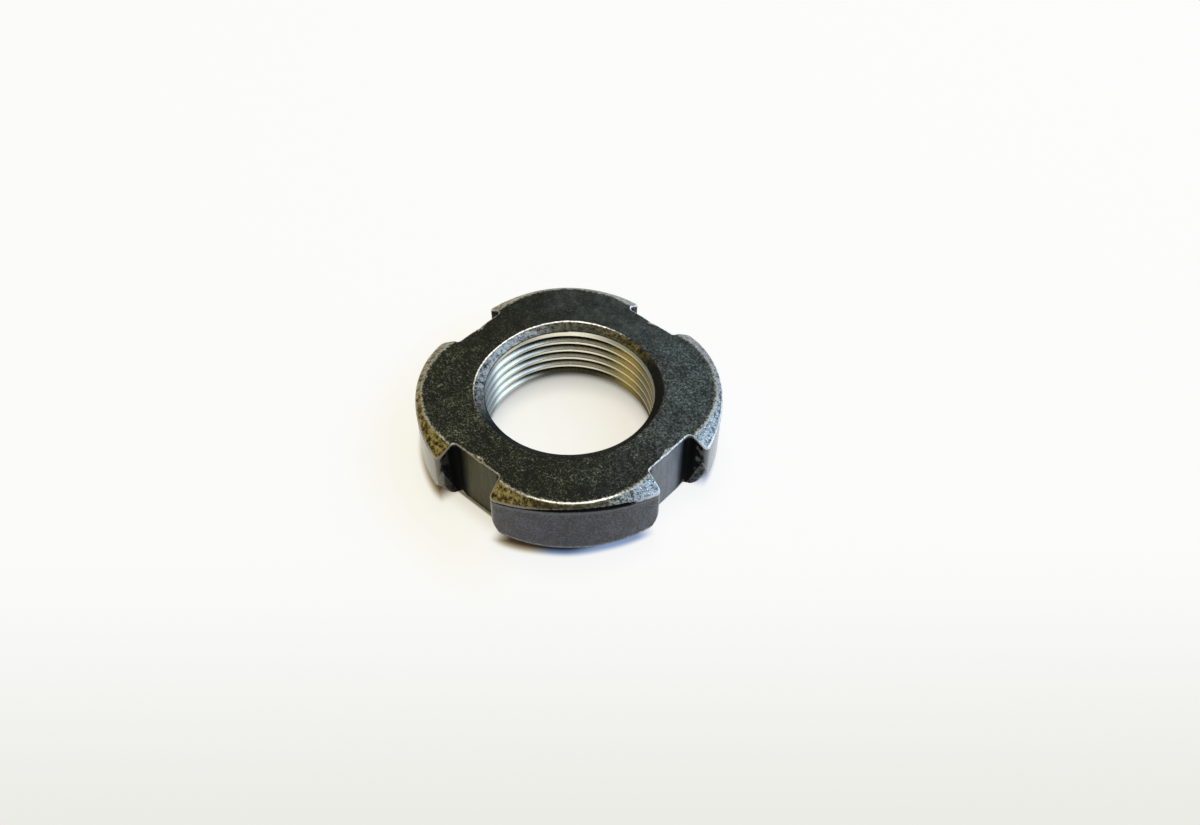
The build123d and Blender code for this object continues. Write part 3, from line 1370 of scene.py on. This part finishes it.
@dataclass(frozen=True)
class PhotoCamera:
    """Camera at the photograph's place, which looks a little past the nut's foot."""

    azimuth: float = 43.05
    elevation: float = 48.5776
    distance: float = 0.157611
    roll: float = -0.62224
    pan: float = -1.51575
    tilt: float = -1.09932
    lens: float = 34.3456
    sensor: float = 36.0
    clip_start: float = 0.01

    def level_axes(self) -> tuple[Vector, Vector]:
        """Level directions in the photograph: to the right, and away from the camera."""
        turn = math.radians(self.azimuth)
        return Vector((math.cos(turn), math.sin(turn), 0.0)), Vector((-math.sin(turn), math.cos(turn), 0.0))

    def build(self) -> bpy.types.Object:
        """Makes the camera and sets it as the scene's.

        Returns:
            The camera.
        """
        lift = math.radians(self.elevation)
        back = Vector((0, -math.cos(lift), math.sin(lift)))
        forward = -back
        right = Vector((1, 0, 0))
        up = right.cross(forward)
        level = Matrix((right, -up, forward))
        turned = (
            Matrix.Rotation(math.radians(self.roll), 3, "Z")
            @ Matrix.Rotation(math.radians(self.pan), 3, "Y")
            @ Matrix.Rotation(math.radians(self.tilt), 3, "X")
            @ level
        )
        axes = Matrix((turned[0], -turned[1], -turned[2])).transposed()
        world = Matrix.Rotation(math.radians(self.azimuth), 3, "Z")
        data = bpy.data.cameras.new("photo_camera")
        data.lens = self.lens
        data.sensor_width = self.sensor
        data.clip_start = self.clip_start
        camera = bpy.data.objects.new("photo_camera", data)
        camera.matrix_world = (world @ axes).to_4x4()
        camera.location = world @ (back * self.distance)
        bpy.context.scene.collection.objects.link(camera)
        bpy.context.scene.camera = camera
        return camera


@dataclass(frozen=True)
class StudioFloor:
    """Plain white table. Away from the nut it shows as an even pale ground, and it keeps the nut's shadow; near the
    nut it carries painted shade, and it is painted darker toward the camera.
    """

    size: float = 3.0
    paper: Colour = colour(0.94, 0.94, 0.935)
    ground: Colour = colour(0.964, 0.966, 0.958)
    # Painted shade: the ground darker toward the camera, and cream left of the nut and in the bore
    near: Colour = colour(0.815, 0.815, 0.765)
    cream: Colour = colour(0.950, 0.925, 0.835)
    # Painted coloured shade at the nut's foot: golden at the left, blue at the right
    gold_foot: Colour = colour(0.56, 0.48, 0.33)
    blue_foot: Colour = colour(0.255, 0.35, 0.56)
    # Painted shade along the left slot's lower edge: cream, with a dark contact shadow
    slot_cream: Colour = colour(0.80, 0.755, 0.63)
    slot_foot: Colour = colour(0.13, 0.12, 0.075)
    start: float = -18.0
    end: float = -62.0
    even: float = 0.92
    even_in_bore: float = 0.5

    def build(self, body: BodySizes, camera: PhotoCamera) -> bpy.types.Object:
        """Makes the floor at the nut's lower face.

        Args:
            body: Sizes of the nut.
            camera: Camera that the shades follow.

        Returns:
            The floor.
        """
        half = self.size / 2
        mesh = bpy.data.meshes.new("studio_floor")
        mesh.from_pydata([(-half, -half, 0), (half, -half, 0), (half, half, 0), (-half, half, 0)], [], [(0, 1, 2, 3)])
        mesh.materials.append(self.material(body, camera))
        floor = bpy.data.objects.new("studio_floor", mesh)
        bpy.context.scene.collection.objects.link(floor)
        return floor

    def material(self, body: BodySizes, camera: PhotoCamera) -> bpy.types.Material:
        """Builds the material.

        Args:
            body: Sizes of the nut, which say where its shadow lies.
            camera: Camera whose level axes the shades follow.

        Returns:
            The material.
        """
        g = Graph("white_table")
        place = g.millimetres()
        across, back = (place.along(axis) for axis in camera.level_axes())
        flat = g.output("Vector", "ShaderNodeVectorMath", {0: place}, operation="ABSOLUTE")
        sides = g.node("ShaderNodeSeparateXYZ", {"Vector": flat}).outputs
        radius = g.output("Value", "ShaderNodeVectorMath", {0: place}, operation="LENGTH")
        lug = radius - body.outer_radius
        depth = g.most(sides["X"], sides["Y"]) - body.slot_floor
        golden, right = across.step(-2.0, -6.0), across.step(-1.0, 5.0)
        reach = golden.span(body.slot_half_width + 3.0, body.slot_half_width + 2.4)
        lean = math.tan(math.radians(body.wall_lean))
        width = (depth * lean + reach) - g.math("MINIMUM", sides["X"], sides["Y"])
        slot = depth.step(-0.6, 0.1) * width.step(0.0, 3.0)
        foot = lug - across.step(-2.0, -8.0) * 0.3
        even = g.most((foot + right * 0.9).step(-1.1, 0.1), slot) * self.even
        even = g.most(even, radius.step(body.rim_radius, 10.5) * self.even_in_bore)
        rays = g.node("ShaderNodeLightPath").outputs
        seen = g.most(rays["Is Camera Ray"], rays["Is Glossy Ray"], rays["Is Transmission Ray"])
        # Painted cream shade left of the nut and inside the bore
        left = across.step(-4.0, -16.0) * lug.step(13.0, 1.0)
        warm = g.most(left, radius.step(body.rim_radius, body.rim_radius - 0.5))
        # Where the painted shade along the left slot's lower edge lies
        under = golden * depth.step(-0.6, 0.0) * width.step(-0.5, 0.5)
        # Painted coloured shade at the foot, also in the diffuse paper
        bounce = across.step(-5.5, -2.0).blend(self.gold_foot, self.blue_foot)
        close = (foot + right * 0.3).step(0.5, -0.5) * radius.step(15.0, 17.0) * (1.0 - slot)
        # Ground painted darker toward the camera, with the painted shades over it
        ground = g.coats(
            back.step(self.end, self.start).blend(self.near, self.ground),
            (warm, self.cream),
            (under * depth.step(3.0, 0.3), self.slot_cream),
            (under * depth.step(0.48, 0.12), self.slot_foot),
            (close, bounce),
        )
        paper = {"Base Color": close.blend(self.paper, bounce), "Roughness": 0.9, "Specular IOR Level": 0.0}
        cloth = g.output("BSDF", "ShaderNodeBsdfPrincipled", paper)
        glow = g.output("Emission", "ShaderNodeEmission", {"Color": ground, "Strength": 1.0})
        return g.close(g.output(0, "ShaderNodeMixShader", {0: even * seen, 1: cloth, 2: glow}))


@dataclass(frozen=True)
class SoftLamp:
    """A square soft lamp that looks at the nut. Azimuth 0 is the camera's side, 90 its right."""

    name: str
    azimuth: float
    elevation: float
    distance: float
    size: float
    power: float
    tint: Triple

    def build(self, camera: PhotoCamera) -> None:
        """Makes the lamp.

        Args:
            camera: Camera from whose side the azimuth counts.
        """
        data = bpy.data.lights.new(self.name, "AREA")
        data.size = self.size
        data.energy = self.power
        data.color = self.tint
        lamp = bpy.data.objects.new(self.name, data)
        turn, lift = math.radians(self.azimuth + camera.azimuth), math.radians(self.elevation)
        back = Vector((math.sin(turn) * math.cos(lift), -math.cos(turn) * math.cos(lift), math.sin(lift)))
        lamp.location = back * self.distance
        lamp.rotation_euler = back.to_track_quat("Z", "Y").to_euler()
        bpy.context.scene.collection.objects.link(lamp)


@dataclass(frozen=True)
class StudioWorld:
    """Soft surrounding light: dim and golden at the camera's left, cool at its right, dark behind it."""

    left: Colour = colour(0.44, 0.32, 0.12)
    middle: Colour = colour(0.24, 0.235, 0.22)
    right: Colour = colour(0.38, 0.50, 0.72)
    front: Colour = colour(0.30, 0.29, 0.28)
    ground: Colour = colour(0.95, 0.95, 0.945)

    def build(self, camera: PhotoCamera) -> None:
        """Makes the world, which the camera itself sees as a pale backdrop.

        Args:
            camera: Camera whose level axes the light follows.
        """
        world = bpy.data.worlds.new("studio_world")
        bpy.context.scene.world = world
        g = Graph("studio_world", world)
        way = g.output("Generated", "ShaderNodeTexCoord")
        to_right, to_back = camera.level_axes()
        across, ahead = way.along(to_right), way.along(-to_back)
        right = across.step(0.0, 0.7).blend(self.middle, self.right)
        sides = across.step(-0.75, -0.05).blend(self.left, right)
        light = ahead.step(0.2, 0.8).blend(sides, g.blend(1.0, sides, self.front, "MULTIPLY"))
        light = g.blend(g.output("Is Camera Ray", "ShaderNodeLightPath"), light, self.ground)
        shine = g.output("Background", "ShaderNodeBackground", {"Color": light, "Strength": 1.0})
        g.close(shine, "ShaderNodeOutputWorld")


def main() -> None:
    """Builds the camera, the studio and the nut."""
    logging.basicConfig(level=logging.INFO)
    bpy.context.scene.view_settings.view_transform = "Standard"
    camera = PhotoCamera()
    camera.build()
    StudioFloor().build(BodySizes(), camera)
    StudioWorld().build(camera)
    overhead, cool = (1.0, 0.92, 0.78), (0.62, 0.82, 1.0)
    lamps = (
        SoftLamp("overhead_lamp", azimuth=180, elevation=76, distance=0.6, size=0.22, power=2.3, tint=overhead),
        SoftLamp("cool_lamp", azimuth=100, elevation=42, distance=0.7, size=0.75, power=3.0, tint=cool),
    )
    for lamp in lamps:
        lamp.build(camera)
    finishes = {
        Finish.SKIN: PhosphateSkin(),
        Finish.SIDE: SatinSide(),
        Finish.SLOT: SlotSide(),
        Finish.THREAD: CutThread(),
    }
    nut = LockNut().build([finishes[finish].material() for finish in Finish])
    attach(nut, "root")
    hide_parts("lock_nut")


if __name__ == "__main__":
    main()
